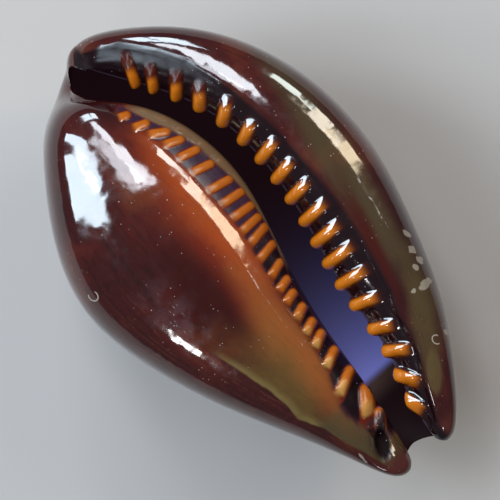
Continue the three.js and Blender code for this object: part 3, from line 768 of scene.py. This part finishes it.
# Scratches are noise drawn out across this scale, at these turns in radians.
SCRATCH_SCALE = (1400, 9000, 1400)
SCRATCH_TURNS = (0.5, 1.4, 2.5)
# Coarse and fine dust: cells to the metre, share that hold a speck, and its size in cells.
DUST = [(1300, 0.14, 0.11), (3000, 0.26, 0.16)]


def wear(m, cloud, fine, dry):
    """Fine scratches in three directions over the scuffed area, and specks of dust."""
    scratch = m.most(*(m.span(m.noise(m.stretched(SCRATCH_SCALE, (0, 0, turn)), 1, 2), 0.69, 0.74)
                       for turn in SCRATCH_TURNS))
    scratch = m.product(scratch, m.span(fine, 0.45, 0.6), m.span(m.mask("scuff"), 0.2, 0.7))
    dust = m.math("ADD", *(m.spots(*specks) for specks in DUST))
    dust = m.product(dust, m.span(m.math("ADD", cloud, m.mask("scuff")), 0.4, 0.62), dry)
    return m.most(m.product(scratch, 0.5), m.product(dust, 0.6))


# The enamel's gloss, its gentle waves to the metre, and the heights of waves and grain in metres.
ENAMEL_IOR = 1.52
COAT_WEIGHT = 0.4
COAT_ROUGHNESS = 0.07
WAVE_SCALE, WAVE_HEIGHT = 420, 0.00014
GRAIN_HEIGHT = 0.0001


def gloss(m, fine, worn, dry):
    """Glossy enamel under a thin coat, less so in the gaps, the hollows and on the low flanks."""
    spoon, row, rear_band = m.mask("spoon_shade"), m.mask("inner_row"), m.mask("outer_dark_rear")
    inside = m.mask("inside")
    matt = m.most(row, spoon, m.mask("flank"), rear_band)
    rough = m.span(fine, 0.3, 0.7, 0.05, 0.12)
    for mask, more in ((worn, 0.5), (inside, 0.5), (matt, 0.16), (spoon, 0.35)):
        rough = m.math("ADD", rough, m.product(mask, more))
    dull = m.most(inside, spoon, m.product(row, 0.6), m.product(rear_band, 0.75))
    m.links.new(rough, m.shader.inputs["Roughness"])
    m.links.new(m.span(dull, 0, 1, 0.5, 0.04), m.shader.inputs["Specular IOR Level"])
    m.shader.inputs["IOR"].default_value = ENAMEL_IOR
    coat = m.product(dry, m.math("SUBTRACT", 1.0, matt), COAT_WEIGHT)
    m.links.new(coat, m.shader.inputs["Coat Weight"])
    m.shader.inputs["Coat Roughness"].default_value = COAT_ROUGHNESS
    wave = m.noise(m.place(), WAVE_SCALE, 2)
    wavy = m.node("ShaderNodeBump", {"Height": wave, "Strength": 0.4, "Distance": WAVE_HEIGHT})
    bump = m.node("ShaderNodeBump", {"Height": fine, "Strength": 0.05, "Distance": GRAIN_HEIGHT,
                                     "Normal": wavy.outputs["Normal"]})
    for socket in ("Normal", "Coat Normal"):
        m.links.new(bump.outputs["Normal"], m.shader.inputs[socket])


# Clouds and fine mottle to the metre, which every part of the enamel shares.
CLOUD_SCALE, FINE_SCALE = 160, 900


def shell_finish(middle):
    """The shell's enamel: colours from the ground up, then hairs, a dusty veil with painted sheen,
    scratches and dust.
    """
    m = Finish("shell_enamel")
    cloud = m.noise(m.place(), CLOUD_SCALE, 4)
    fine = m.noise(m.place(), FINE_SCALE, 5)
    colour = teeth_colour(m, ground_colour(m, cloud, fine))
    colour = inside_colour(m, colour)
    colour = m.blend(colour, enamel("worn_patch"), patch_mask(m, middle))
    colour = m.blend(colour, enamel("hair"), hair_mask(m, middle))
    dry = m.math("SUBTRACT", 1.0, m.mask("inside"))
    worn = wear(m, cloud, fine, dry)
    # A faint purple-grey veil over the scuffed area: a dust film with painted sheen.
    dusty_sheen = m.product(m.mask("scuff"), m.span(fine, 0.4, 0.6), 0.1)
    colour = m.blend(colour, enamel("dusty_sheen"), dusty_sheen)
    colour = m.blend(colour, enamel("dust"), worn)
    m.links.new(colour, m.shader.inputs["Base Color"])
    gloss(m, fine, worn, dry)
    return m.material


# The floor: half its side in metres, its mottle's two tones and scale to the metre, its roughness.
FLOOR_HALF = 0.6
FLOOR_TONES = (202, 203, 206), (208, 209, 212)
FLOOR_MOTTLE = 6
FLOOR_ROUGHNESS = 0.8


def floor_finish():
    """A plain pale floor with a faint mottle."""
    m = Finish("pale_floor")
    mottle = m.noise(m.place(), FLOOR_MOTTLE, 2)
    tone = m.blend(*(paint(*colour) for colour in FLOOR_TONES), mottle)
    m.links.new(tone, m.shader.inputs["Base Color"])
    m.shader.inputs["Roughness"].default_value = FLOOR_ROUGHNESS
    return m.material


def make_floor():
    """A square floor under the shell, on z = 0."""
    mesh = bpy.data.meshes.new("floor")
    corners = [(x * FLOOR_HALF, y * FLOOR_HALF, 0) for x, y in ((-1, -1), (1, -1), (1, 1), (-1, 1))]
    mesh.from_pydata(corners, [], [(0, 1, 2, 3)])
    floor = bpy.data.objects.new("floor", mesh)
    floor.data.materials.append(floor_finish())
    bpy.context.scene.collection.objects.link(floor)


# The camera looks straight down. The front end points to the picture's lower right.
PHOTO_PIXELS = 500
MM_PER_PIXEL = 0.07498
FRONT_IN_PICTURE = (0.668, 0.744)
PICTURE_CENTRE = (-0.31, -0.165)
CAMERA_DISTANCE = 0.9
AIM_HEIGHT = 0.017
SENSOR = 36.0


def make_camera(middle):
    """The camera, turned so that +X runs along FRONT_IN_PICTURE, with y down, in the picture."""
    across, down = FRONT_IN_PICTURE
    right = Vector((across, down, 0)).normalized()
    up = Vector((-right.y, right.x, 0))
    centre = (np.array(PICTURE_CENTRE) - middle) * MM
    data = bpy.data.cameras.new("camera")
    data.sensor_width = SENSOR
    data.lens = SENSOR * CAMERA_DISTANCE / (PHOTO_PIXELS * MM_PER_PIXEL * MM)
    camera = bpy.data.objects.new("camera", data)
    place = Vector((centre[0], centre[1], AIM_HEIGHT + CAMERA_DISTANCE))
    turn = Matrix((right, up, (0, 0, 1))).transposed().to_4x4()
    camera.matrix_world = Matrix.Translation(place) @ turn
    bpy.context.scene.collection.objects.link(camera)
    bpy.context.scene.camera = camera


# Softboxes: name, azimuths from and to, elevations from and to, in degrees, brightness and colour.
SOFTBOXES = [
    ("rear_window_left", 157, 173, 30, 52, 18, (0.72, 0.87, 1.0)),
    ("rear_window_right", 143, 155, 30, 50, 18, (0.76, 0.89, 1.0)),
    ("rear_window_top", 151, 173, 56, 83, 16, (0.86, 0.92, 1.0)),
    ("rear_window_upper", 175, 200, 71, 83, 11, (0.84, 0.9, 1.0)),
    ("low_window_left", 204, 222, 24, 72, 18, (0.7, 0.86, 1.0)),
    ("low_window_right", 225, 246, 26, 70, 18, (0.72, 0.88, 1.0)),
    ("side_pane_rear", 97, 109, 25, 44, 14, (0.9, 1.0, 0.93)),
    ("side_pane_middle", 89, 96, 25, 60, 14, (1.0, 0.9, 0.74)),
    ("side_pane_front", 81, 88, 27, 58, 13, (1.0, 0.84, 0.58)),
    ("front_lamp", -77, -71, 44, 52, 30, (1.0, 1.0, 1.0)),
    ("tip_lamp", -32, -27, 35, 39, 20, (1.0, 1.0, 1.0)),
    ("lip_lamp", 72, 74, 58, 61, 12, (1.0, 0.97, 0.92)),
]
SOFTBOX_DISTANCE = 0.6
SHELL_HEIGHT = 0.015
SURROUND_COLOUR, SURROUND_STRENGTH = (0.78, 0.82, 0.9, 1), 0.15


def softbox(name, azimuths, elevations, brightness, colour):
    """A rectangular light that fills a window of directions, seen from the shell.

    Its power is brightness times pi times its area, so its brightness is that of its surface.
    """
    a, e = np.radians(np.mean(azimuths)), np.radians(np.mean(elevations))
    data = bpy.data.lights.new(name, "AREA")
    data.shape = "RECTANGLE"
    data.size = SOFTBOX_DISTANCE * np.cos(e) * np.radians(azimuths[1] - azimuths[0])
    data.size_y = SOFTBOX_DISTANCE * np.radians(elevations[1] - elevations[0])
    data.energy = brightness * np.pi * data.size * data.size_y
    data.color = colour
    light = bpy.data.objects.new(name, data)
    away = Vector((np.cos(a) * np.cos(e), np.sin(a) * np.cos(e), np.sin(e)))
    light.location = away * SOFTBOX_DISTANCE + Vector((0, 0, SHELL_HEIGHT))
    light.rotation_euler = away.to_track_quat("Z", "Y").to_euler()
    bpy.context.scene.collection.objects.link(light)


def make_lights():
    """The softboxes and a dim even surround."""
    for name, az_from, az_to, el_from, el_to, brightness, colour in SOFTBOXES:
        softbox(name, (az_from, az_to), (el_from, el_to), brightness, colour)
    world = bpy.data.worlds.new("surround")
    world.use_nodes = True
    background = world.node_tree.nodes["Background"]
    background.inputs["Color"].default_value = SURROUND_COLOUR
    background.inputs["Strength"].default_value = SURROUND_STRENGTH
    bpy.context.scene.world = world
    bpy.context.scene.view_settings.view_transform = "Standard"


shell, middle = make_shell()
shell.data.materials.append(shell_finish(middle))
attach(shell, "root")
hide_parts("shell")
make_camera(middle)
make_floor()
make_lights()
